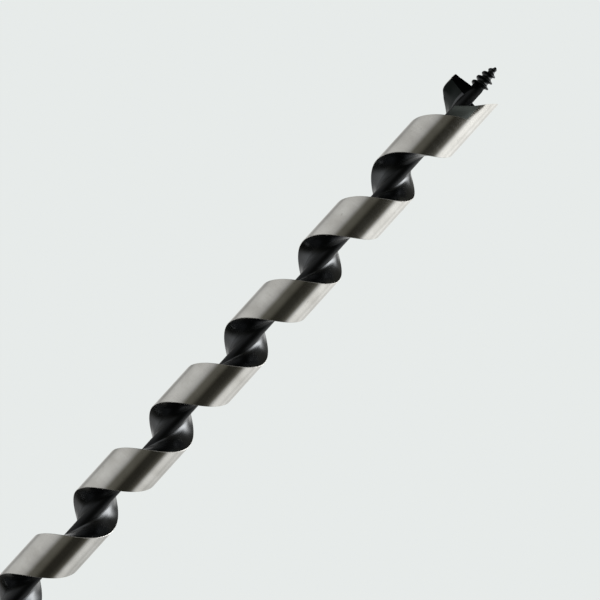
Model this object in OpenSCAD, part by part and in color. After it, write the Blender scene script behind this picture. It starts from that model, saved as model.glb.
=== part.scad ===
// Long wood drill bit: a solid-centre auger with one right-hand flight.
// The bit stands on the end of its shank, with its axis on Z and the tip of its screw at the top.

/* [Twist] */
// Cutting diameter, across the ground lands
twist_d = 12; // [10:0.5:16]
// Length of the twist, from the collar to the cutting lip
twist_len = 377.3; // [120:0.05:600]
// Rise of the flight in one turn
twist_pitch = 24.8; // [22:0.1:32]
// Width of the ground land, measured along the axis
land_w = 11.6; // [9:0.1:13]
// Run of each flute wall along the axis, from the land's edge to the core
wall_run = 4.3; // [3:0.1:5]
// Diameter of the solid centre
core_d = 2.8; // [2.6:0.1:4]

/* [Head] */
// Length of the cutter head, from its weld to the cutting lip
head_len = 11.45; // [10:0.05:20]
// Direction of the cutting lip round the axis, from +X
lip_angle = 197; // [0:1:359]
// Angle from the lip back to where the land's lower edge would be
lip_setback = 7; // [5:1:25]
// Height of the cutting lip
lip_h = 1.15; // [0.8:0.05:2.5]
// Angle that the lip takes up round the axis
lip_span = 30; // [20:1:40]
// Lean of the lip's front face, forward towards its edge
lip_rake = 40; // [10:1:50]
// Fall of the end face, from the lip round to the spur
relief_drop = 2.1; // [1.5:0.05:3.5]

/* [Spur] */
// Height of the spur's tip above the lip
spur_rise = 1.7; // [0.5:0.05:2]
// Wall of the spur
spur_t = 1.2; // [0.8:0.1:1.8]
// Depth of the spur's rebate below the lip
spur_seat = 7.3; // [6:0.05:9]
// Slope of the spur's ground back, from level
spur_slope = 55; // [40:1:65]
// Angle that the spur laps round over the end face
spur_lap = 3; // [1:0.5:8]

/* [Lead screw] */
// Length of the threaded cone
screw_len = 6; // [4:0.1:10]
// Diameter over the largest thread
screw_d = 4; // [3.6:0.1:6]
// Diameter at the root of the largest thread
screw_root_d = 2.6; // [2.2:0.1:3.4]
// Pitch of the screw's thread
screw_pitch = 1.56; // [1:0.02:2.4]
// Diameter of the screw's blunt point
screw_point_d = 0.5; // [0.3:0.05:1]
// Plain neck between the lip and the screw
neck_len = 1.7; // [0.5:0.05:4]
// Diameter of the tang that holds the screw in the core
tang_d = 1.6; // [1.2:0.1:2]
// Length of that tang
tang_len = 8; // [4:0.5:14]

/* [Shank] */
// Diameter of the round shank
shank_d = 9.5; // [8:0.1:11]
// Length of the round shank
shank_len = 23; // [20:1:60]
// Length of the collar where the flute runs out
collar_len = 12; // [10:0.5:16]
// Lean of the flute's run-out, from the axis
run_out_angle = 27; // [25:1:40]
// Radius of the cutter that leaves the run-out
run_out_r = 4.4; // [3:0.1:5]
// Depth of the core's seat in the round shank
core_seat = 16; // [10:0.5:18]
// Hexagon of the drive end, across its flats
hex_af = 8; // [6.5:0.1:9]
// Length of the hexagon
hex_len = 30; // [22:1:50]
// Chamfer at both ends of the hexagon
hex_chamfer = 0.9; // [0.3:0.1:1.5]
// Diameter of the spigot that joins the shank to the hexagon
spigot_d = 5; // [4:0.1:6]
// Length of that spigot
spigot_len = 14; // [8:0.5:18]

/* [Fits] */
// Gap that the braze fills round each tang and spigot
braze_gap = 0.05; // [0.02:0.01:0.1]
// Least thickness of a flute wall where it thins out on the core
wall_edge = 0.15; // [0.1:0.05:0.3]

/* [Hidden] */
// The flight is laid round the core in butted lengths, counted from the shank
flight_lengths = 5;
function flight_name(i) = str("flight_length_", i);

$fn = 48;

black_oxide = "#24282a";
bright_steel = "#b7b8b3";

// Sides of one ring of the screw, and rings in one turn of its thread
screw_sides = 20;
screw_rings = 8;
// Flat steps across the land of the twist, and in each of its flute walls
land_steps = 6;
wall_steps = 3;
// How many times finer the head is
head_detail = 2;
// Share of the thread's pitch that its ridge fills
ridge_share = 0.55;
// Angle that is cleared ahead of the lip, and behind the spur
lip_clearing = 90;
spur_clearing = 6;
// How far a cutting tool reaches past the metal
reach = 1;

twist_r = twist_d / 2;
core_r = core_d / 2;
bore_r = core_r + braze_gap;
shank_r = shank_d / 2;

shank_base = hex_len;
collar_base = shank_base + shank_len;
twist_base = collar_base + collar_len;
lip_z = twist_base + twist_len;
head_base = lip_z - head_len;
screw_base = lip_z + neck_len;
end_z = lip_z - relief_drop;
seat_z = lip_z - spur_seat;
spur_top = lip_z + spur_rise;

// Angle of the land's lower and upper edges at a height
function lower_edge(z) = lip_angle + lip_setback + (z - lip_z) * 360 / twist_pitch;
function upper_edge(z) = lower_edge(z - land_w);

spur_trail = upper_edge(seat_z);
spur_lead = upper_edge(end_z) + spur_lap;

function on_round(r, angle, z) = [r * cos(angle), r * sin(angle), z];

// One point of a flute wall, as how far it runs from the land's edge and its radius
function wall_point(turn) =
    [wall_run * (1 - cos(turn)), twist_r - (twist_r - bore_r - wall_edge) * sin(turn)];

// The flight's outline, from the foot of its lower wall, over the land, to the foot of its upper wall
function flight_outline(detail) =
    let (walls = wall_steps * detail, lands = land_steps * detail)
    let (wall = [for (step = [1 : walls]) wall_point(90 * step / walls)])
    concat(
        [for (i = [walls - 1 : -1 : 0]) [-wall[i][0], wall[i][1]]],
        [for (step = [0 : lands]) [land_w * step / lands, twist_r]],
        [for (p = wall) [land_w + p[0], p[1]]]
    );
twist_outline = flight_outline(1);
head_outline = flight_outline(head_detail);
// Rings are as far apart as the land's steps, so that its flats line up with the axis
ring_rise = land_w / land_steps;
// The bore's flats stand clear of the round core
flat_r = bore_r / cos(ring_rise * 180 / twist_pitch);

function ring_count(length, rise) = ceil(length / rise);
function flight_point(p, z, inside) = on_round(inside ? flat_r : p[1], lower_edge(z - p[0]), z);

// The rings of each length of the flight are level
flight_len = (head_base - twist_base) / flight_lengths;
flight_rings = ring_count(flight_len, ring_rise);
function flight_sheet(base, inside) = [
    for (i = [0 : flight_rings])
        [for (p = twist_outline) flight_point(p, base + flight_len * i / flight_rings, inside)]
];

// The head's rings tilt towards the end face, which falls from the lip to the spur
head_rings = ring_count(head_len, ring_rise / head_detail);
function end_height(run) = lip_z - relief_drop * min(1, max(0, run / land_w));
function head_sheet(inside) = [
    for (i = [0 : head_rings])
        [for (p = head_outline)
            flight_point(p, head_base + (end_height(p[0]) - head_base) * i / head_rings, inside)]
];

// Two triangles of a patch, from its corner and the steps to its neighbours along two sides
function patch(corner, first, second) =
    let (far = corner + first + second)
    [[corner, corner + first, far], [corner, far, corner + second]];

// A solid wrapped round the core, between an outer and an inner sheet of points
module wrapped_solid(outer, inner) {
    rows = len(outer);
    columns = len(outer[0]);
    sheet = rows * columns;
    row_starts = [for (row = [0 : rows - 2]) row * columns];
    column_starts = [0 : columns - 2];
    polyhedron(
        points = [for (side = [outer, inner]) for (ring = side) each ring],
        faces = concat(
            [for (row = row_starts) for (column = column_starts)
                each patch(row + column, 1, columns)],
            [for (row = row_starts) for (column = column_starts)
                each patch(sheet + row + column, columns, 1)],
            [for (row = row_starts) each patch(row, columns, sheet)],
            [for (row = row_starts) each patch(row + columns - 1, sheet, columns)],
            [for (column = column_starts) each patch(column, sheet, 1)],
            [for (column = column_starts) each patch(sheet - columns + column, 1, sheet)]
        )
    );
}

// A solid of closed rings, one above the other
module ringed_solid(rings) {
    sides = len(rings[0]);
    top = (len(rings) - 1) * sides;
    fan = [1 : sides - 2];
    polyhedron(
        points = [for (ring = rings) each ring],
        faces = concat(
            [for (i = fan) [0, i, i + 1]],
            [for (row = [0 : len(rings) - 2]) for (i = [0 : sides - 1])
                each patch(row * sides + i, sides, i < sides - 1 ? 1 : 1 - sides)],
            [for (i = fan) [top, top + i + 1, top + i]]
        )
    );
}

// A piece of a tube, from one angle to another
module tube_piece(inner_r, outer_r, from, to, low, high) {
    rotate([0, 0, from])
        rotate_extrude(angle = to - from)
            translate([inner_r, low])
                square([outer_r - inner_r, high - low]);
}

// Radius of the screw at a height above its base: a tapered root and a sharp ridge wound round it
function ridge(phase) = max(0, 1 - abs(phase - 0.5) * 2 / ridge_share);
function screw_radius(height, angle) =
    let (taper = 1 - pow(height / screw_len, 2), turns = height / screw_pitch - angle / 360)
    let (root = screw_point_d / 2 + (screw_root_d - screw_point_d) / 2 * taper)
    root + (screw_d - screw_root_d) / 2 * taper * ridge(turns - floor(turns));

function round_ring(r, z) =
    [for (i = [0 : screw_sides - 1]) on_round(r, 360 * i / screw_sides, z)];
function screw_ring(height) = [
    for (i = [0 : screw_sides - 1])
        let (angle = 360 * i / screw_sides) on_round(screw_radius(height, angle), angle, screw_base + height)
];

module lead_screw() {
    rings = ceil(screw_len / screw_pitch * screw_rings);
    color(black_oxide)
        ringed_solid(concat(
            [round_ring(tang_d / 2, screw_base - tang_len), round_ring(tang_d / 2, screw_base)],
            [for (i = [0 : rings]) screw_ring(screw_len * i / rings)]
        ));
}

// Everything ahead of the lip's back face, down to the lip's seat
module lip_notch() {
    tube_piece(0, twist_r + reach, lip_angle - lip_span, lip_angle + lip_clearing,
               lip_z - lip_h, lip_z + reach);
}

module spur_rebate() {
    tube_piece(twist_r - spur_t, twist_r + reach, spur_trail - spur_clearing, spur_lead,
               seat_z, spur_top + reach);
}

module cutter_head() {
    color(bright_steel)
        difference() {
            wrapped_solid(head_sheet(false), head_sheet(true));
            lip_notch();
            spur_rebate();
        }
}

// A large block with one face on the cutting edge, turned about that edge to grind the lip
module lip_grind(turn) {
    rotate([0, 0, lip_angle])
        translate([0, 0, lip_z])
            rotate([turn, 0, 0])
                translate([-twist_d, -twist_d, 0])
                    cube([2 * twist_d, 2 * twist_d, twist_d]);
}

// The lip is ground on top, to fall back as the end face does, and in front, to lean forward
module cutting_lip() {
    relief = atan(relief_drop / (land_w / twist_pitch * PI * twist_d));
    color(black_oxide)
        difference() {
            tube_piece(bore_r, twist_r, lip_angle - lip_span, lip_angle, lip_z - lip_h, lip_z);
            lip_grind(relief);
            lip_grind(-90 - lip_rake);
        }
}

// The spur's back is one plane, which rises to its tip over the end of the land
module scribing_spur() {
    color(bright_steel)
        difference() {
            tube_piece(twist_r - spur_t + braze_gap, twist_r, spur_trail, spur_lead, seat_z, spur_top);
            rotate([0, 0, spur_lead])
                translate([twist_r, 0, spur_top])
                    rotate([0, -spur_slope, 0])
                        translate([-3 * twist_d, -twist_d, 0])
                            cube([4 * twist_d, 2 * twist_d, twist_d]);
        }
}

module core_rod() {
    foot = collar_base - core_seat;
    color(black_oxide)
        difference() {
            translate([0, 0, foot])
                cylinder(h = screw_base - foot, r = core_r);
            translate([0, 0, screw_base - tang_len - braze_gap])
                cylinder(h = tang_len + braze_gap + reach, d = tang_d + 2 * braze_gap);
        }
}

module flight_length(i) {
    base = twist_base + flight_len * (i - 1);
    color(bright_steel)
        wrapped_solid(flight_sheet(base, false), flight_sheet(base, true));
}

// The flute leaves the twist as a leaning groove in the collar
module run_out_groove() {
    middle = lower_edge(twist_base + (twist_pitch - land_w) / 2);
    offset_r = bore_r + wall_edge + run_out_r / cos(run_out_angle);
    rotate([0, 0, middle])
        translate([offset_r, 0, twist_base])
            rotate([0, -run_out_angle, 0])
                cylinder(h = 4 * collar_len, r = run_out_r, center = true);
}

module shank_collar() {
    color(black_oxide)
        difference() {
            translate([0, 0, collar_base])
                cylinder(h = collar_len, r1 = shank_r, r2 = twist_r);
            run_out_groove();
            translate([0, 0, collar_base - reach])
                cylinder(h = collar_len + 2 * reach, r = bore_r);
        }
}

module round_shank() {
    color(black_oxide)
        difference() {
            union() {
                translate([0, 0, shank_base])
                    cylinder(h = shank_len, r = shank_r);
                translate([0, 0, shank_base - spigot_len])
                    cylinder(h = spigot_len + reach, d = spigot_d);
            }
            translate([0, 0, collar_base - core_seat - braze_gap])
                cylinder(h = core_seat + braze_gap + reach, r = bore_r);
        }
}

module hex_drive() {
    corner_r = hex_af / 2 / cos(30);
    end_r = corner_r - hex_chamfer;
    color(bright_steel)
        difference() {
            union() {
                cylinder(h = hex_chamfer, r1 = end_r, r2 = corner_r, $fn = 6);
                translate([0, 0, hex_chamfer])
                    cylinder(h = hex_len - 2 * hex_chamfer, r = corner_r, $fn = 6);
                translate([0, 0, hex_len - hex_chamfer])
                    cylinder(h = hex_chamfer, r1 = corner_r, r2 = end_r, $fn = 6);
            }
            translate([0, 0, hex_len - spigot_len - braze_gap])
                cylinder(h = spigot_len + braze_gap + reach, d = spigot_d + 2 * braze_gap);
        }
}

lead_screw();
cutter_head();
cutting_lip();
scribing_spur();
core_rod();
for (i = [1 : flight_lengths])
    flight_length(i);
shank_collar();
round_shank();
hex_drive();
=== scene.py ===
import math

import bmesh
import bpy
from mathutils import Matrix, Vector


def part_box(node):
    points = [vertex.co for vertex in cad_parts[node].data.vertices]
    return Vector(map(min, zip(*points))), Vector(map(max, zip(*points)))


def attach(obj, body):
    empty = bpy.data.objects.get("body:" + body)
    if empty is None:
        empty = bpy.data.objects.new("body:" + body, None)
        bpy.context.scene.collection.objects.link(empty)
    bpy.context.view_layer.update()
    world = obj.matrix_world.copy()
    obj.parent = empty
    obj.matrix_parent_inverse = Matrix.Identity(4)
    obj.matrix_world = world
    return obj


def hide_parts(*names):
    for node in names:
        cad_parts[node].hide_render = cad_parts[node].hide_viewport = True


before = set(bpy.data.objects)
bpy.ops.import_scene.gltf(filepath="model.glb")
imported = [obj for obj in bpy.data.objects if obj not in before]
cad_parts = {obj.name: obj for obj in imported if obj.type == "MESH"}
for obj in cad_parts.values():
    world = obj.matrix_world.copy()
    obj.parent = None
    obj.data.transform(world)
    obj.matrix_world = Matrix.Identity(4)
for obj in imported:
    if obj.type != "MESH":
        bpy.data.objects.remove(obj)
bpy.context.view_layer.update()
scene = bpy.context.scene
mm = 0.001     # shapes are in millimetres until a piece is finished
weld = 0.0004  # points nearer than this, in millimetres, become one
tau = 2 * math.pi


def bottomOf(node):
    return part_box(node)[0].z / mm


def topOf(node):
    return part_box(node)[1].z / mm


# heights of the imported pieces, from the drive end up to the tip of the screw
flightNodes = sorted(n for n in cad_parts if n.startswith("flight_length_"))
twistBase = bottomOf(flightNodes[0])
headBase = bottomOf("cutter_head")
lipTop = topOf("cutting_lip")
spurTop = topOf("scribing_spur")
screwBase = topOf("core_rod")
screwTip = topOf("lead_screw")
collarBase = bottomOf("shank_collar")
shankBase = topOf("hex_drive")
print("frame loaded:", len(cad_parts), "nodes")


# stage: a pale floor, and a pale studio with a dark side behind the camera
stage = {
    "pale": (0.80, 0.83, 0.82, 1),  # the backdrop that the camera sees
    "floorRadius": 0.07,
    "floorSides": 96,
    "floorColor": (0.80, 0.82, 0.81, 1),
    "floorRoughness": 0.9,
    # how bright the studio is all round, as degrees from the camera's side, positive to its right
    "level": [(-180, 0.75), (-160, 0.62), (-150, 0.50), (-142, 0.38), (-130, 0.40), (-119, 0.55),
              (-105, 0.61), (-85, 0.64), (-65, 0.61), (-50, 0.53), (-40, 0.44), (-31, 0.26), (-22, 0.12),
              (-10, 0.11), (0, 0.09), (6, 0.058), (14, 0.025), (38, 0.025), (52, 0.052), (60, 0.12),
              (68, 0.44), (77, 0.81), (86, 0.90), (98, 0.89), (107, 0.78), (113, 0.76), (121, 0.86),
              (131, 0.88), (139, 0.70), (150, 0.71), (165, 0.80), (180, 0.75)],
    # a tall window to the right, with dark above the left side
    "high": [(-180, 0.3), (-155, 0.08), (-140, 0.02), (-35, 0.02), (-18, 0.03), (-4, 0.06), (12, 0.3),
             (32, 1.6), (50, 3.6), (64, 5.8), (80, 7.5), (96, 8.0), (111, 5.2), (126, 1.9), (142, 0.3),
             (160, 0.18), (180, 0.3)],
    # a pale table to the left, with dark below the right side
    "low": [(-180, 0.3), (-140, 0.4), (-120, 0.6), (-100, 0.75), (-80, 0.85), (-60, 0.8), (-40, 0.5),
            (-20, 0.32), (0, 0.15), (20, 0.055), (40, 0.015), (112, 0.01), (130, 0.06), (150, 0.2),
            (180, 0.3)],
    "highFrom": (0.33, 0.47),       # sines of the elevation between which one ring gives way to the next
    "highTo": (0.70, 0.80),
    "lowFrom": (-0.28, -0.45),
    "lowTo": (-0.76, -0.90),
    "frontLift": 0.22,              # how much higher the window starts towards the camera
    "rightLean": 1.0,               # how much the right side brightens upwards
    "backLean": 2.0,                # and how much more it does so towards the back
    "above": 0.10,
    "below": 0.012,
    "plainTint": (1.0, 1.0, 0.975),
    "darkTint": (1.0, 0.95, 0.72),  # the dark side is brownish
    "tintUpTo": 0.3,                # brightness at which the tint is the plain one
}


def addNode(tree, kind, **settings):
    node = tree.nodes.new(kind)
    for key, value in settings.items():
        setattr(node, key, value)
    return node


def compute(tree, operation, first, second=None):
    node = addNode(tree, "ShaderNodeMath", operation=operation)
    for index, value in enumerate((first, second)):
        if value is None:
            continue
        if isinstance(value, (int, float)):
            node.inputs[index].default_value = value
        else:
            tree.links.new(value, node.inputs[index])
    return node.outputs[0]


# sockets of a colour mix
mixFactor, mixFirst, mixSecond, mixResult = 0, 6, 7, 2


def mixColor(tree, factor, first, second, blend="MIX"):
    node = addNode(tree, "ShaderNodeMix", data_type="RGBA", blend_type=blend)
    for socket, value in ((mixFactor, factor), (mixFirst, first), (mixSecond, second)):
        if isinstance(value, (int, float)):
            node.inputs[socket].default_value = value
        elif isinstance(value, tuple):
            node.inputs[socket].default_value = (*value[:3], 1)
        else:
            tree.links.new(value, node.inputs[socket])
    return node.outputs[mixResult]


# where most of a noise's values lie
noiseLow, noiseHigh = 0.3, 0.7


def spread(tree, value, low, high, fromLow=noiseLow, fromHigh=noiseHigh):
    node = addNode(tree, "ShaderNodeMapRange")
    tree.links.new(value, node.inputs["Value"])
    for key, number in zip(("From Min", "From Max", "To Min", "To Max"), (fromLow, fromHigh, low, high)):
        node.inputs[key].default_value = number
    return node.outputs[0]


def placeOf(tree, kind="Object"):
    coords = addNode(tree, "ShaderNodeTexCoord")
    split = addNode(tree, "ShaderNodeSeparateXYZ")
    tree.links.new(coords.outputs[kind], split.inputs[0])
    return split.outputs


def studioRing(tree, share, name):
    # brightness round the bit, scaled down into the ramp's range and up again
    ramp = addNode(tree, "ShaderNodeValToRGB")
    peak = max(bright for degrees, bright in stage[name])
    stops = ramp.color_ramp.elements
    while len(stops) < len(stage[name]):
        stops.new(0.5)
    for stop, (degrees, bright) in zip(stops, stage[name]):
        stop.position = degrees / 360 + 0.5
        stop.color = (bright / peak,) * 3 + (1,)
    tree.links.new(share, ramp.inputs[0])
    return compute(tree, "MULTIPLY", ramp.outputs[0], peak)


def buildWorld():
    world = bpy.data.worlds.new("studio")
    scene.world = world
    world.use_nodes = True
    tree = world.node_tree
    tree.nodes.clear()
    place = placeOf(tree, "Generated")
    turn = compute(tree, "ARCTAN2", place["X"], compute(tree, "MULTIPLY", place["Y"], -1.0))
    share = spread(tree, turn, 0, 1, -math.pi, math.pi)
    height = place["Z"]
    level = studioRing(tree, share, "level")
    back = compute(tree, "MULTIPLY", compute(tree, "MAXIMUM", place["Y"], 0), stage["backLean"])
    front = compute(tree, "MULTIPLY", compute(tree, "MINIMUM", place["Y"], 0), stage["frontLift"])
    right = compute(tree, "MAXIMUM", place["X"], 0)
    lean = compute(tree, "MULTIPLY", right, compute(tree, "ADD", back, stage["rightLean"]))
    leaning = compute(tree, "ADD", compute(tree, "MULTIPLY", height, lean), 1.0)
    level = compute(tree, "MULTIPLY", level, leaning)
    lifted = compute(tree, "ADD", height, front)
    for ring, cap, begin, finish, start in (("high", "above", "highFrom", "highTo", lifted),
                                            ("low", "below", "lowFrom", "lowTo", height)):
        inRing = spread(tree, start, 0, 1, *stage[begin])
        level = mixColor(tree, inRing, level, studioRing(tree, share, ring))
        beyond = spread(tree, height, 0, 1, *stage[finish])
        level = mixColor(tree, beyond, level, (stage[cap],) * 3)
    plain = spread(tree, level, 0, 1, 0, stage["tintUpTo"])
    tint = mixColor(tree, plain, stage["darkTint"], stage["plainTint"])
    studio = addNode(tree, "ShaderNodeBackground")
    tree.links.new(mixColor(tree, 1.0, tint, level, "MULTIPLY"), studio.inputs["Color"])
    backdrop = addNode(tree, "ShaderNodeBackground")
    backdrop.inputs["Color"].default_value = stage["pale"]
    path = addNode(tree, "ShaderNodeLightPath")
    choose = addNode(tree, "ShaderNodeMixShader")
    tree.links.new(path.outputs["Is Camera Ray"], choose.inputs[0])
    tree.links.new(studio.outputs[0], choose.inputs[1])
    tree.links.new(backdrop.outputs[0], choose.inputs[2])
    out = addNode(tree, "ShaderNodeOutputWorld")
    tree.links.new(choose.outputs[0], out.inputs[0])


def buildFloor():
    bm = bmesh.new()
    bmesh.ops.create_circle(bm, cap_ends=True, segments=stage["floorSides"], radius=stage["floorRadius"])
    mesh = bpy.data.meshes.new("floor")
    bm.to_mesh(mesh)
    bm.free()
    floor = bpy.data.objects.new("floor", mesh)
    scene.collection.objects.link(floor)
    material = bpy.data.materials.new("palePaper")
    material.use_nodes = True
    shader = material.node_tree.nodes["Principled BSDF"]
    shader.inputs["Base Color"].default_value = stage["floorColor"]
    shader.inputs["Roughness"].default_value = stage["floorRoughness"]
    mesh.materials.append(material)


# camera, level with the upper twist, looking a little up and rolled so that the bit leans right
shot = {"place": (2.395, -325.35, 354.99), "lookUp": 4.571, "roll": 42.141, "lens": 87.876, "sensor": 36,
        "nearest": 0.01}


def buildCamera():
    data = bpy.data.cameras.new("shot")
    data.sensor_width = shot["sensor"]
    data.lens = shot["lens"]
    data.clip_start = shot["nearest"]
    camera = bpy.data.objects.new("shot", data)
    scene.collection.objects.link(camera)
    look = Matrix.Rotation(math.radians(90 + shot["lookUp"]), 4, "X")
    roll = Matrix.Rotation(math.radians(shot["roll"]), 4, "Z")
    camera.matrix_world = Matrix.Translation(Vector(shot["place"]) * mm) @ look @ roll
    scene.camera = camera


scene.view_settings.view_transform = "Standard"
buildWorld()
buildFloor()
buildCamera()
print("stage and camera set")


# finishes
def newMaterial(name):
    material = bpy.data.materials.new(name)
    material.use_nodes = True
    return material, material.node_tree, material.node_tree.nodes["Principled BSDF"]


def stretchedNoise(tree, scale, detail, roughness=0.5):
    coords = addNode(tree, "ShaderNodeTexCoord")
    mapping = addNode(tree, "ShaderNodeMapping")
    mapping.inputs["Scale"].default_value = scale
    tree.links.new(coords.outputs["Object"], mapping.inputs["Vector"])
    noise = addNode(tree, "ShaderNodeTexNoise")
    noise.inputs["Scale"].default_value = 1.0
    noise.inputs["Detail"].default_value = detail
    noise.inputs["Roughness"].default_value = roughness
    tree.links.new(mapping.outputs[0], noise.inputs["Vector"])
    return noise.outputs[0]


def helicalNoise(tree, across, along, detail):
    # noise that runs along the flute, from the angle round the axis less the twist's own turn
    place = placeOf(tree)
    turn = compute(tree, "ARCTAN2", place["Y"], place["X"])
    lag = compute(tree, "MULTIPLY", place["Z"], tau / (twist["pitch"] * mm))
    phase = compute(tree, "SUBTRACT", turn, lag)
    join = addNode(tree, "ShaderNodeCombineXYZ")
    tree.links.new(compute(tree, "MULTIPLY", compute(tree, "COSINE", phase), across), join.inputs[0])
    tree.links.new(compute(tree, "MULTIPLY", compute(tree, "SINE", phase), across), join.inputs[1])
    tree.links.new(compute(tree, "MULTIPLY", place["Z"], along), join.inputs[2])
    noise = addNode(tree, "ShaderNodeTexNoise")
    noise.inputs["Scale"].default_value = 1.0
    noise.inputs["Detail"].default_value = detail
    tree.links.new(join.outputs[0], noise.inputs["Vector"])
    return noise.outputs[0]


def addBump(tree, shader, value, strength, distance):
    bump = addNode(tree, "ShaderNodeBump")
    bump.inputs["Strength"].default_value = strength
    bump.inputs["Distance"].default_value = distance
    tree.links.new(value, bump.inputs["Height"])
    tree.links.new(bump.outputs[0], shader.inputs["Normal"])


# In the finishes below a noise is its scale and its detail, then its roughness if that isn't a half, and a
# bump is its strength and its distance.

# bright ground steel: fine lines round the axis, cloudy patches, dark specks
groundSteel = {
    "light": (0.76, 0.755, 0.735), "dull": (0.58, 0.57, 0.545), "speck": (0.30, 0.29, 0.27),
    "patches": ((190, 190, 240), 4),
    "lines": ((260, 260, 8200), 4, 0.6), "lineRange": (0.35, 0.65), "lineShare": 0.35,
    "specks": ((1900, 1900, 1500), 1), "speckRange": (0.70, 0.82), "speckShare": 0.5,
    "roughness": (0.12, 0.18), "bump": (0.06, 0.00001),
    "stretch": 0.7, "stretchTurn": 0.25,  # blurs along the axis, across the lines
}


def makeGroundSteel():
    steel = groundSteel
    material, tree, shader = newMaterial("groundSteel")
    lines = stretchedNoise(tree, *steel["lines"])
    patches = stretchedNoise(tree, *steel["patches"])
    specks = stretchedNoise(tree, *steel["specks"])
    tone = mixColor(tree, spread(tree, patches, 0, 1), steel["dull"], steel["light"])
    scratched = spread(tree, lines, 0, steel["lineShare"], *steel["lineRange"])
    lined = mixColor(tree, scratched, tone, steel["dull"])
    dotted = spread(tree, specks, 0, steel["speckShare"], *steel["speckRange"])
    tree.links.new(mixColor(tree, dotted, lined, steel["speck"]), shader.inputs["Base Color"])
    shader.inputs["Metallic"].default_value = 1.0
    tree.links.new(spread(tree, lines, *steel["roughness"]), shader.inputs["Roughness"])
    shader.inputs["Anisotropic"].default_value = steel["stretch"]
    shader.inputs["Anisotropic Rotation"].default_value = steel["stretchTurn"]
    around = addNode(tree, "ShaderNodeTangent", direction_type="RADIAL", axis="Z")
    tree.links.new(around.outputs[0], shader.inputs["Tangent"])
    addBump(tree, shader, lines, *steel["bump"])
    return material


# rubbed edge: brighter than the land, with a soft shine
rubbedEdge = {"light": (0.82, 0.815, 0.80), "dull": (0.62, 0.61, 0.59), "nicks": ((700, 700, 700), 3),
              "roughness": (0.45, 0.6)}


def makeRubbedEdge():
    material, tree, shader = newMaterial("rubbedEdge")
    nicks = stretchedNoise(tree, *rubbedEdge["nicks"])
    tone = mixColor(tree, spread(tree, nicks, 0, 1), rubbedEdge["dull"], rubbedEdge["light"])
    tree.links.new(tone, shader.inputs["Base Color"])
    shader.inputs["Metallic"].default_value = 1.0
    tree.links.new(spread(tree, nicks, *rubbedEdge["roughness"]), shader.inputs["Roughness"])
    return material


# black oxide: near-black, semi-gloss, with faint streaks along the flute and a dusty cloudiness
blackOxide = {
    "deep": (0.0008, 0.001, 0.0011), "worn": (0.003, 0.0036, 0.0039), "sheen": (0.90, 0.94, 1.0),
    "across": 9.0, "along": 55.0, "streakDetail": 4,
    "clouds": ((260, 260, 260), 3), "grain": ((1500, 1500, 1500), 2), "grainShare": 0.35,
    "bump": (0.18, 0.00004),
    "greyRun": 6.0, "greyLeast": 0.7,    # where it is rubbed, it greys from the head's foot upwards
    "seamShine": 1.28, "seamFade": 3.0,  # it dulls towards the weld between the twist and the head
}


def makeBlackOxide(name, roughness, shine, grey=None):
    oxide = blackOxide
    material, tree, shader = newMaterial(name)
    streaks = helicalNoise(tree, oxide["across"], oxide["along"], oxide["streakDetail"])
    clouds = stretchedNoise(tree, *oxide["clouds"])
    grain = stretchedNoise(tree, *oxide["grain"])
    tone = mixColor(tree, spread(tree, streaks, 0, 1), oxide["deep"], oxide["worn"])
    height = placeOf(tree)["Z"]
    if grey:
        near = spread(tree, height, 0, 1, headBase * mm, (headBase + oxide["greyRun"]) * mm)
        darkest = tuple(part * oxide["greyLeast"] for part in grey)
        tone = mixColor(tree, near, tone, mixColor(tree, spread(tree, clouds, 0, 1), darkest, grey))
    tree.links.new(tone, shader.inputs["Base Color"])
    shader.inputs["Metallic"].default_value = 0.0
    away = compute(tree, "ABSOLUTE", compute(tree, "SUBTRACT", height, headBase * mm))
    seamShine = min(shine, oxide["seamShine"])
    tree.links.new(spread(tree, away, seamShine, shine, 0, oxide["seamFade"] * mm), shader.inputs["IOR"])
    shader.inputs["Specular Tint"].default_value = (*oxide["sheen"], 1)
    tree.links.new(spread(tree, clouds, *roughness), shader.inputs["Roughness"])
    relief = compute(tree, "ADD", streaks, compute(tree, "MULTIPLY", grain, oxide["grainShare"]))
    addBump(tree, shader, relief, *oxide["bump"])
    return material


# satin steel of the hexagon, with lines along the flats
satinSteel = {"light": (0.56, 0.555, 0.54), "dull": (0.40, 0.395, 0.38), "clouds": ((150, 150, 150), 3),
              "lines": ((5200, 5200, 130), 3), "lineShare": 0.4, "roughness": (0.30, 0.44),
              "bump": (0.15, 0.00001)}


def makeSatinSteel():
    material, tree, shader = newMaterial("satinSteel")
    lines = stretchedNoise(tree, *satinSteel["lines"])
    clouds = stretchedNoise(tree, *satinSteel["clouds"])
    base = mixColor(tree, spread(tree, clouds, 0, 1), satinSteel["dull"], satinSteel["light"])
    tone = mixColor(tree, spread(tree, lines, 0, satinSteel["lineShare"]), base, satinSteel["dull"])
    tree.links.new(tone, shader.inputs["Base Color"])
    shader.inputs["Metallic"].default_value = 1.0
    tree.links.new(spread(tree, lines, *satinSteel["roughness"]), shader.inputs["Roughness"])
    addBump(tree, shader, lines, *satinSteel["bump"])
    return material


# twist: one land and one flute wound round a solid centre
twist = {
    "radius": 6.0, "pitch": 24.8, "land": 11.6, "floor": 1.42,
    "rim": 0.1,                   # broken edge of the land
    "wall": 3.8, "dive": 5.4,     # a wall follows an ellipse, this far along the axis and towards it
    "fillet": 0.9,                # between a wall and the floor
    "coreReach": 0.2,             # how far out from the floor the core's duller oxide reaches, painted shade at the bottom of the flute
    "landSteps": 32, "wallSteps": 9, "filletSteps": 5, "floorSteps": 8, "turnSteps": 80,
}

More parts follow.
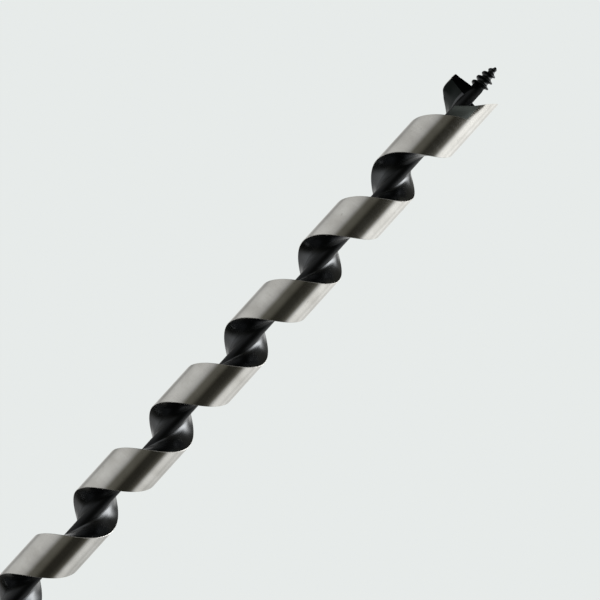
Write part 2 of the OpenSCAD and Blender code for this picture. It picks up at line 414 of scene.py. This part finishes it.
# an oxide's numbers are its roughness from and to, its shine as an index of refraction, and its grey
(landIndex, rimIndex, oxideIndex, sootIndex, greyIndex, rampIndex, satinIndex, coreIndex,
 shadeIndex) = range(9)
finishes = [makeGroundSteel(),
            makeRubbedEdge(),
            makeBlackOxide("blackOxide", (0.20, 0.30), 1.84),
            makeBlackOxide("sootyOxide", (0.45, 0.6), 1.12),
            makeBlackOxide("greyedOxide", (0.30, 0.42), 1.28, (0.034, 0.042, 0.041)),
            makeBlackOxide("rubbedRamp", (0.34, 0.48), 1.32, (0.17, 0.195, 0.185)),
            makeSatinSteel(),
            # the core's oxide is duller than the walls', which paints shade at the bottom of the flute
            makeBlackOxide("coreOxidePaintedShade", (0.30, 0.42), 1.33)]
# the lower wall is painted in steps of duller oxide towards the core, as painted shade deep in the flute:
# the radius up to which one reaches, and its shine
paintedShadeSteps = [(1.9, 1.42), (2.2, 1.52), (2.65, 1.65)]
paintedShadeRoughness = (0.26, 0.36)
for number, (radius, shine) in enumerate(paintedShadeSteps):
    finishes.append(makeBlackOxide(f"dullOxidePaintedShade{number}", paintedShadeRoughness, shine))
print("finishes made")


def makePiece(name, bm, nodes, sharp=32):
    # edges that turn by more than so many degrees stay sharp
    bmesh.ops.remove_doubles(bm, verts=bm.verts, dist=weld)
    bmesh.ops.recalc_face_normals(bm, faces=bm.faces)
    bmesh.ops.scale(bm, vec=(mm, mm, mm), verts=bm.verts)
    mesh = bpy.data.meshes.new(name)
    bm.to_mesh(mesh)
    bm.free()
    for material in finishes:
        mesh.materials.append(material)
    mesh.shade_smooth()
    mesh.set_sharp_from_angle(angle=math.radians(sharp))
    piece = bpy.data.objects.new(name, mesh)
    scene.collection.objects.link(piece)
    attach(piece, "root")
    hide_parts(*nodes)
    print(name, len(mesh.polygons), "faces")


def carve(bm, cutter, operation="DIFFERENCE"):
    # one solid cut by another, with both used up
    objects = []
    for name, source in (("carved", bm), ("cutter", cutter)):
        bmesh.ops.recalc_face_normals(source, faces=source.faces)
        mesh = bpy.data.meshes.new(name)
        source.to_mesh(mesh)
        source.free()
        for material in finishes:
            mesh.materials.append(material)
        objects.append(bpy.data.objects.new(name, mesh))
        scene.collection.objects.link(objects[-1])
    modifier = objects[0].modifiers.new("cut", "BOOLEAN")
    modifier.operation = operation
    modifier.solver = "EXACT"
    modifier.object = objects[1]
    seen = objects[0].evaluated_get(bpy.context.evaluated_depsgraph_get())
    result = bmesh.new()
    result.from_mesh(seen.to_mesh())
    seen.to_mesh_clear()
    for item in objects:
        bpy.data.meshes.remove(item.data)
    return result


def paintAll(bm, index):
    for face in bm.faces:
        face.material_index = index


def lathe(bm, points, steps):
    # turns (radius, height) points round the axis
    line = [bm.verts.new((radius, 0, height)) for radius, height in points]
    edges = [bm.edges.new(pair) for pair in zip(line, line[1:])]
    bmesh.ops.spin(bm, geom=line + edges, cent=(0, 0, 0), axis=(0, 0, 1), angle=tau, steps=steps,
                   use_merge=True)
    bmesh.ops.remove_doubles(bm, verts=bm.verts, dist=weld)


def onRound(radius, angle, height):
    return Vector((radius * math.cos(angle), radius * math.sin(angle), height))


# lip: where it points in degrees, and how far past that the land's lower edge ends
lip = {
    "angle": 197, "setback": 7,
    "seat": 1.2, "coreSeat": 1.9,              # depth of its notch in the head, at the rim and by the core
    "inner": 1.5, "outer": 9.0, "above": 2.0,  # how far in, out and up the notch reaches
    "span": 30, "clearing": 90, "steps": 12,   # degrees of the notch before the lip and beyond it
    "relief": 2.1,                             # how far the head's end falls behind it
    "lift": 0.045,                             # the end's rise per millimetre towards the core
    "innerLift": 0.115, "bend": 4.2,           # and what it gains within this radius
    "skew": 24, "height": 1.15, "back": 0.958,  # its dark facet's turn in degrees, and its slope
    "sharp": 20,
}


def lowerEdge(height):
    return math.radians(lip["angle"] + lip["setback"]) + (height - lipTop) * tau / twist["pitch"]


def flightOutline():
    # (run along the axis, radius) round one section, from the foot of the lower wall over the land
    start = math.asin(twist["rim"] / twist["dive"])
    end = math.asin((twist["radius"] - twist["floor"]) / twist["dive"])
    wall = []
    for step in range(twist["wallSteps"] + 1):
        turn = start + (end - start) * step / twist["wallSteps"]
        run = twist["wall"] * (1 - math.cos(turn))
        wall.append((run, twist["radius"] - twist["dive"] * math.sin(turn)))
    foot = Vector(wall[-1])
    slope = Vector((twist["wall"] * math.sin(end), -twist["dive"] * math.cos(end))).normalized()
    before = foot - slope * twist["fillet"]
    after = foot + Vector((twist["fillet"], 0))
    wall = [point for point in wall if point[0] < before.x]
    for step in range(twist["filletSteps"] + 1):
        share = step / twist["filletSteps"]
        wall.append(tuple(before.lerp(foot, share).lerp(foot.lerp(after, share), share)))
    flat = twist["land"] - 2 * twist["rim"]
    land = [(twist["rim"] + flat * step / twist["landSteps"], twist["radius"])
            for step in range(twist["landSteps"] + 1)]
    ledge = twist["land"] + wall[-1][0]
    gap = twist["pitch"] - twist["land"] - 2 * wall[-1][0]
    floor = [(ledge + gap * step / twist["floorSteps"], twist["floor"])
             for step in range(1, twist["floorSteps"])]
    lowerWall = [(-run, radius) for run, radius in reversed(wall)]
    upperWall = [(twist["land"] + run, radius) for run, radius in wall]
    return lowerWall + land + upperWall + floor


def spinFlight(bm, low, high, turnSteps):
    loop = [bm.verts.new(onRound(radius, lowerEdge(low) - run * tau / twist["pitch"], low))
            for run, radius in flightOutline()]
    ring = [bm.edges.new(pair) for pair in zip(loop, loop[1:] + loop[:1])]
    turns = (high - low) / twist["pitch"]
    steps = math.ceil(turns * turnSteps)
    made = bmesh.ops.spin(bm, geom=loop + ring, cent=(0, 0, 0), axis=(0, 0, 1), angle=turns * tau,
                          dvec=(0, 0, (high - low) / steps), steps=steps)
    last = [item for item in made["geom_last"] if isinstance(item, bmesh.types.BMEdge)]
    return ring, last


def runOf(point):
    # how far along the axis a point lies from the land's lower edge, below it as a minus
    turned = (lowerEdge(point.z) - math.atan2(point.y, point.x)) % tau
    run = turned * twist["pitch"] / tau
    return run - twist["pitch"] if run > twist["pitch"] - twist["wall"] else run


def wallFinish(face, reach):
    if reach < twist["floor"] + twist["coreReach"]:
        return coreIndex
    # the lower wall near the core gets the duller steps, painted shade
    if runOf(face.calc_center_median()) < 0:
        for number, (radius, shine) in enumerate(paintedShadeSteps):
            if reach < radius:
                return shadeIndex + number
    return oxideIndex


flatEnd = 0.95    # a face is an end where its normal points this much along the axis
landSlack = 0.01  # how far inside the full radius a face may lie and still be land


def paintFlight(bm, finishOf):
    bm.normal_update()
    for face in bm.faces:
        radii = [vert.co.xy.length for vert in face.verts]
        face.material_index = finishOf(face, max(radii))
        if abs(face.normal.z) > flatEnd or min(radii) < twist["radius"] - 2 * twist["rim"]:
            continue
        face.material_index = landIndex if min(radii) > twist["radius"] - landSlack else rimIndex


def repeatFlight(bm, low, high):
    # one length of about a turn, repeated along the screw line
    lengths = round((high - low) / twist["pitch"])
    step = (high - low) / lengths
    spinFlight(bm, low, low + step, twist["turnSteps"])
    first = list(bm.verts) + list(bm.edges) + list(bm.faces)
    for index in range(1, lengths):
        copy = bmesh.ops.duplicate(bm, geom=first)["geom"]
        along = Matrix.Translation((0, 0, index * step))
        turn = Matrix.Rotation(index * step * tau / twist["pitch"], 4, "Z")
        verts = [item for item in copy if isinstance(item, bmesh.types.BMVert)]
        bmesh.ops.transform(bm, matrix=along @ turn, verts=verts)
    bmesh.ops.remove_doubles(bm, verts=bm.verts, dist=weld)


bm = bmesh.new()
repeatFlight(bm, twistBase, headBase)
paintFlight(bm, wallFinish)
bmesh.ops.holes_fill(bm, edges=[edge for edge in bm.edges if edge.is_boundary], sides=0)
makePiece("twistFlight", bm, flightNodes)


# cutter head: the last half turn, whose end falls from the lip round to the spur
head = {
    "turnSteps": 150,
    "endFoot": 3,      # how far past the land its end is lowest
    "endInset": 0.3,   # its end reaches this far inside the floor of the flute
    "coreReach": 0.1,  # how far out from the floor the core's duller oxide, painted shade, reaches, and that of the fillets
    "footReach": 0.8,
    # the rim hangs a little below the helix under the lip and stands above it further round: millimetres
    # along the axis, then where it is most, in degrees, and how far it fades to both sides
    "hang": {"most": 1.05, "at": 171, "before": 32, "after": 26},
    "climb": {"most": 0.57, "at": 113, "before": 53, "after": 36},
    "swayReach": 1.2,  # how far up the land that dies out
}


def headFinish(face, reach):
    # the core gets the duller oxide, painted shade at the bottom of the flute
    if reach < twist["floor"] + head["coreReach"]:
        return coreIndex
    if reach < twist["floor"] + head["footReach"]:
        return oxideIndex if runOf(face.calc_center_median()) < 0 else sootIndex
    return greyIndex


def endHeight(run, radius):
    # falls from the lip over the land, climbs back over the flute, and lifts a little towards the core
    edge = lip["setback"] / 360 * twist["pitch"]
    foot = twist["land"] + head["endFoot"]
    if run > foot:
        near = (run - foot) / (twist["pitch"] - twist["wall"] - foot)
    else:
        near = 1 - min(1, max(0, (run - edge) / (twist["land"] - edge)))
    lift = lip["lift"] * (twist["radius"] - radius) + lip["innerLift"] * max(0, lip["bend"] - radius)
    return lipTop - lip["relief"] * (1 - near) + lift * near


def swell(bend, degrees):
    away = (degrees - bend["at"]) / (bend["after"] if degrees > bend["at"] else bend["before"])
    return bend["most"] * math.cos(math.pi / 2 * max(-1, min(1, away))) ** 2


def rimSway(point, run):
    degrees = math.degrees(math.atan2(point.y, point.x)) % 360
    depth = (point.xy.length - twist["floor"]) / (twist["radius"] - twist["floor"])
    fade = max(0, 1 - max(0, run) / head["swayReach"])
    return (swell(head["climb"], degrees) - swell(head["hang"], degrees)) * depth * fade


def buildHead():
    bm = bmesh.new()
    firstRing, lastRing = spinFlight(bm, headBase, lipTop, head["turnSteps"])
    for vert in bm.verts:
        run = runOf(vert.co)
        share = (endHeight(run, vert.co.xy.length) - headBase) / (lipTop - headBase)
        rise = (vert.co.z - headBase) * (share - 1)
        angle = math.atan2(vert.co.y, vert.co.x) + rise * tau / twist["pitch"]
        vert.co = onRound(vert.co.xy.length, angle, vert.co.z + rise)
        vert.co.z += rimSway(vert.co, run)
    paintFlight(bm, headFinish)
    bmesh.ops.contextual_create(bm, geom=firstRing, mat_nr=oxideIndex)
    made = bmesh.ops.extrude_edge_only(bm, edges=lastRing)["geom"]
    for vert in (item for item in made if isinstance(item, bmesh.types.BMVert)):
        vert.co.xy = vert.co.xy.normalized() * (twist["floor"] - head["endInset"])
    for face in (item for item in made if isinstance(item, bmesh.types.BMFace)):
        face.material_index = oxideIndex
    innerRing = [item for item in made if isinstance(item, bmesh.types.BMEdge) and item.is_boundary]
    bmesh.ops.contextual_create(bm, geom=innerRing, mat_nr=oxideIndex)
    return bm


def buildNotch():
    # the room that the lip takes out of the head's end
    bm = bmesh.new()
    start = math.radians(lip["angle"] - lip["span"])
    slope = (lip["coreSeat"] - lip["seat"]) / (twist["radius"] - lip["inner"])
    high = lipTop + lip["above"]
    outerSeat = lipTop - lip["seat"] + slope * (lip["outer"] - twist["radius"])
    corners = [(lip["inner"], lipTop - lip["coreSeat"]), (lip["outer"], outerSeat), (lip["outer"], high),
               (lip["inner"], high)]
    face = bm.faces.new([bm.verts.new(onRound(radius, start, height)) for radius, height in corners])
    bmesh.ops.spin(bm, geom=[face], cent=(0, 0, 0), axis=(0, 0, 1), steps=lip["steps"],
                   angle=math.radians(lip["span"] + lip["clearing"]))
    bmesh.ops.remove_doubles(bm, verts=bm.verts, dist=weld)
    paintAll(bm, oxideIndex)
    return bm


def sliceOff(bm, point, normal):
    # takes off what lies on the normal's side, and closes the cut
    geom = list(bm.verts) + list(bm.edges) + list(bm.faces)
    cut = bmesh.ops.bisect_plane(bm, geom=geom, plane_co=point, plane_no=normal, clear_outer=True)
    edges = [item for item in cut["geom_cut"] if isinstance(item, bmesh.types.BMEdge)]
    bmesh.ops.contextual_create(bm, geom=edges, mat_nr=sootIndex)


headSolid = buildHead()
bm = carve(headSolid.copy(), buildNotch(), "INTERSECT")
for face in bm.faces:
    if face.material_index not in (landIndex, rimIndex):
        face.material_index = sootIndex
corner = onRound(twist["radius"], math.radians(lip["angle"]), lipTop)
skewed = Matrix.Rotation(math.radians(lip["angle"] - lip["skew"]), 3, "Z")
sliceOff(bm, corner, skewed @ Vector((0, lip["height"], -lip["back"])))
makePiece("cuttingLip", bm, ["cutting_lip"], lip["sharp"])
makePiece("cutterHead", carve(headSolid, buildNotch()), ["cutter_head"])


# scribing spur: a thin wall flush with the land, with a ramp down to the core
spur = {
    "wall": 1.2, "proud": 0.002,
    "fairAngle": 27, "leadAngle": 98,       # from where to where the wall runs, in degrees
    "slope": 1.42,                          # of the wall's top edge
    "rampFall": 0.87, "rampCurve": 0.0685,  # how the ramp's edge falls towards the core, and levels out
    "corner": 1.5,                          # softened corner between the ramp and the wall
    "insideFrom": 48,                       # where the wall's inner face begins
    "backRadius": 0.9, "backAngle": 30,     # the ramp's back, hidden in the core
    "depth": 0.5,                           # least height of the piece
    "sink": 0.05, "sinkMore": 0.25,         # depth of its foot under the land's rim, by the core and beyond
    "rampSteps": 18, "cornerSteps": 10, "rings": 8,
}


def facing(radius, degrees):
    # a point at degrees round from the camera's side, positive to its right
    angle = math.radians(degrees)
    return Vector((radius * math.sin(angle), -radius * math.cos(angle), 0))


def upperRim(point):
    # height of the land's upper edge at this side of the bit, on the head's turn
    lag = (lowerEdge(lipTop) - math.atan2(point.y, point.x)) % tau
    return lipTop + twist["land"] - lag * twist["pitch"] / tau


def spurHeight(x):
    fairX = twist["radius"] * math.sin(math.radians(spur["fairAngle"]))
    fairZ = spurTop - spur["slope"] * (twist["radius"] - fairX)
    if x >= fairX:
        return fairZ + spur["slope"] * (x - fairX)
    back = fairX - x
    return fairZ - spur["rampFall"] * back + spur["rampCurve"] * back * back


def spurOutlines():
    # the foot, on the land's rim, and the top, with a straight ramp and a softened corner
    outer = twist["radius"] + spur["proud"]
    inner = twist["radius"] - spur["wall"]
    tangent = spur["fairAngle"] - math.degrees(math.acos(twist["floor"] / twist["radius"]))
    begin = facing(twist["floor"], tangent)
    edge = facing(outer, spur["fairAngle"])
    cut = begin.lerp(edge, 1 - spur["corner"] / (edge - begin).length)
    arcFrom = spur["fairAngle"] + round(math.degrees(spur["corner"] / twist["radius"]))
    arc = range(arcFrom, spur["leadAngle"] + 1)
    fair = [begin.lerp(cut, step / spur["rampSteps"]) for step in range(spur["rampSteps"] + 1)]
    shares = [step / spur["cornerSteps"] for step in range(1, spur["cornerSteps"])]
    arcStart = facing(outer, arcFrom)
    softened = [cut.lerp(edge, share).lerp(edge.lerp(arcStart, share), share) for share in shares]
    rim = [facing(outer, degrees) for degrees in arc]
    inside = [facing(inner, degrees) for degrees in reversed(arc) if degrees > spur["insideFrom"]]
    back = [facing(spur["backRadius"], spur["backAngle"]), facing(spur["backRadius"], tangent)]
    top = fair + softened + rim + inside + back
    foot = [point.copy() for point in top]
    rampEnd = len(fair) + len(softened)
    for index, point in enumerate(foot):
        if index < rampEnd:
            reach = outer - 2 * twist["rim"] * max(0, 1 - index / len(fair))
            point.y = -math.sqrt(reach ** 2 - point.x ** 2)
        sink = spur["sink"] + spur["sinkMore"] * min(1, index / len(fair))
        point.z = min(spurHeight(point.x) - spur["depth"], upperRim(point) - sink)
    for point in top:
        point.z = spurHeight(point.x)
    return foot, top, len(fair), rampEnd, rampEnd + len(rim)


def buildSpur():
    bm = bmesh.new()
    foot, top, fairEnd, rampEnd, rimEnd = spurOutlines()
    loop = [bm.verts.new(point) for point in foot]
    bm.faces.new(loop).material_index = rampIndex
    for ring in range(1, spur["rings"] + 1):
        share = ring / spur["rings"]
        edges = [bm.edges.get(pair) for pair in zip(loop, loop[1:] + loop[:1])]
        made = bmesh.ops.extrude_edge_only(bm, edges=edges)["geom"]
        fresh = {item for item in made if isinstance(item, bmesh.types.BMVert)}
        loop = [next(edge.other_vert(vert) for edge in vert.link_edges if edge.other_vert(vert) in fresh)
                for vert in loop]
        for index, (vert, low, high) in enumerate(zip(loop, foot, top)):
            eased = share ** (1 + min(1, index / rampEnd))
            vert.co.xy = low.xy.lerp(high.xy, eased)
            vert.co.z = low.z + (high.z - low.z) * share
        for index, pair in enumerate(zip(loop, loop[1:] + loop[:1])):
            onLand = (fairEnd + rampEnd) / 2 <= index < rimEnd - 1
            bm.edges.get(pair).link_faces[0].material_index = landIndex if onLand else rampIndex
    bm.faces.new(loop).material_index = rampIndex
    return bm


makePiece("scribingSpur", buildSpur(), ["scribing_spur"])


# core rod: the neck shows between the lip and the screw
core = {"radius": 1.4, "edge": 0.3, "edgeIn": 0.1, "steps": 96}
bm = bmesh.new()
rodBase = bottomOf("core_rod")
lathe(bm, [(0, rodBase), (core["radius"], rodBase), (core["radius"], screwBase - core["edge"]),
           (core["radius"] - core["edgeIn"], screwBase), (0, screwBase)], core["steps"])
paintAll(bm, sootIndex)
makePiece("coreRod", bm, ["core_rod"])


# lead screw: one thin ridge wound up a blunt taper
screw = {
    "pitch": 1.56, "crest": 2.08, "root": 1.3, "point": 0.25, "blunt": 0.02, "sharp": 50, "turnSteps": 56,
    "start": 0.86,    # turns of thread below its base, which are cut off again
    "spareTurns": 3,  # beyond its length, cut off as well
    # the ridge's section, as shares of the pitch and of its height
    "ridge": [(0.0, 0.0), (0.14, 0.0), (0.28, 0.25), (0.37, 0.75), (0.43, 0.97), (0.50, 1.0), (0.57, 0.97),
              (0.63, 0.75), (0.72, 0.25), (0.86, 0.0), (1.0, 0.0)],
}


def buildScrew():
    bm = bmesh.new()
    low = screwBase - screw["start"] * screw["pitch"]
    high = screw["crest"] - screw["root"]
    line = [bm.verts.new((screw["root"] + high * ridge, 0, low + share * screw["pitch"]))
            for share, ridge in screw["ridge"]]
    edges = [bm.edges.new(pair) for pair in zip(line, line[1:])]
    length = screwTip - screwBase
    turns = math.ceil(length / screw["pitch"]) + screw["spareTurns"]
    bmesh.ops.spin(bm, geom=line + edges, cent=(0, 0, 0), axis=(0, 0, 1), angle=turns * tau,
                   dvec=(0, 0, screw["pitch"] / screw["turnSteps"]), steps=turns * screw["turnSteps"])
    bmesh.ops.remove_doubles(bm, verts=bm.verts, dist=weld)
    for height, up in ((screwBase, -1), (screwTip - screw["blunt"], 1)):
        geom = list(bm.verts) + list(bm.edges) + list(bm.faces)
        bmesh.ops.bisect_plane(bm, geom=geom, plane_co=(0, 0, height), plane_no=(0, 0, up),
                               clear_outer=True)
    for vert in bm.verts:
        rise = (vert.co.z - screwBase) / length
        ridge = (vert.co.xy.length - screw["root"]) * (1 - rise ** 4)
        body = screw["point"] + (screw["root"] - screw["point"]) * (1 - rise ** 2)
        vert.co.xy = vert.co.xy.normalized() * (body + ridge)
    bmesh.ops.holes_fill(bm, edges=[edge for edge in bm.edges if edge.is_boundary], sides=0)
    paintAll(bm, shadeIndex)
    return bm


makePiece("leadScrew", buildScrew(), ["lead_screw"], screw["sharp"])


# collar: a cone from the shank up to the twist, with the flute's run-out cut into it
collar = {"shankRadius": 4.75, "edge": 0.25, "edgeInset": 0.08, "topInset": 0.15, "steps": 128,
          "groove": 4.4, "grooveLean": 27, "grooveFloor": 0.2, "grooveLength": 60, "grooveSteps": 96}
bm = bmesh.new()
lathe(bm, [(0, collarBase), (collar["shankRadius"], collarBase),
           (twist["radius"] - collar["edgeInset"], twistBase - collar["edge"]),
           (twist["radius"] - collar["topInset"], twistBase), (0, twistBase)], collar["steps"])
paintAll(bm, oxideIndex)
groove = bmesh.new()
bmesh.ops.create_cone(groove, cap_ends=True, segments=collar["grooveSteps"], radius1=collar["groove"],
                      radius2=collar["groove"], depth=collar["grooveLength"])
lean = math.radians(collar["grooveLean"])
middle = lowerEdge(twistBase + (twist["pitch"] - twist["land"]) / 2)
away = twist["floor"] + collar["grooveFloor"] + collar["groove"] / math.cos(lean)
leaned = Matrix.Translation((away, 0, twistBase)) @ Matrix.Rotation(-lean, 4, "Y")
bmesh.ops.transform(groove, matrix=Matrix.Rotation(middle, 4, "Z") @ leaned, verts=groove.verts)
paintAll(groove, oxideIndex)
makePiece("shankCollar", carve(bm, groove), ["shank_collar"])


# round shank, with a broken edge at its foot and a spigot inside the hexagon
shank = {"radius": collar["shankRadius"], "edge": 0.35, "spigot": 2.5, "steps": 128}
bm = bmesh.new()
spigotBase = bottomOf("round_shank")
lathe(bm, [(0, spigotBase), (shank["spigot"], spigotBase), (shank["spigot"], shankBase),
           (shank["radius"] - shank["edge"], shankBase), (shank["radius"], shankBase + shank["edge"]),
           (shank["radius"], collarBase), (0, collarBase)], shank["steps"])
paintAll(bm, oxideIndex)
makePiece("roundShank", bm, ["round_shank"])


# hexagon, turned to a cone at both ends
hexagon = {"across": 8.0, "cone": 0.9, "coneRise": 0.55, "past": 0.3, "steps": 144, "sharp": 20}
bm = bmesh.new()
cornerRadius = hexagon["across"] / 2 / math.cos(math.pi / 6)
bmesh.ops.create_cone(bm, cap_ends=True, segments=6, radius1=cornerRadius, radius2=cornerRadius,
                      depth=shankBase)
bmesh.ops.translate(bm, vec=(0, 0, shankBase / 2), verts=bm.verts)
bmesh.ops.rotate(bm, cent=(0, 0, 0), matrix=Matrix.Rotation(math.pi / 6, 3, "Z"), verts=bm.verts)
# the cone is turned on past both ends and past the corners, so that it meets no face or edge flush
past = hexagon["past"]
slope = hexagon["cone"] / hexagon["coneRise"]
wide = cornerRadius + past * slope
narrow = cornerRadius - hexagon["cone"] - past * slope
rise = hexagon["coneRise"] + past
turned = bmesh.new()
lathe(turned, [(0, -past), (narrow, -past), (wide, rise), (wide, shankBase - rise),
               (narrow, shankBase + past), (0, shankBase + past)], hexagon["steps"])
halfStep = Matrix.Rotation(math.pi / hexagon["steps"], 3, "Z")
bmesh.ops.rotate(turned, cent=(0, 0, 0), matrix=halfStep, verts=turned.verts)
bm = carve(bm, turned, "INTERSECT")
paintAll(bm, satinIndex)
makePiece("hexDrive", bm, ["hex_drive"], hexagon["sharp"])
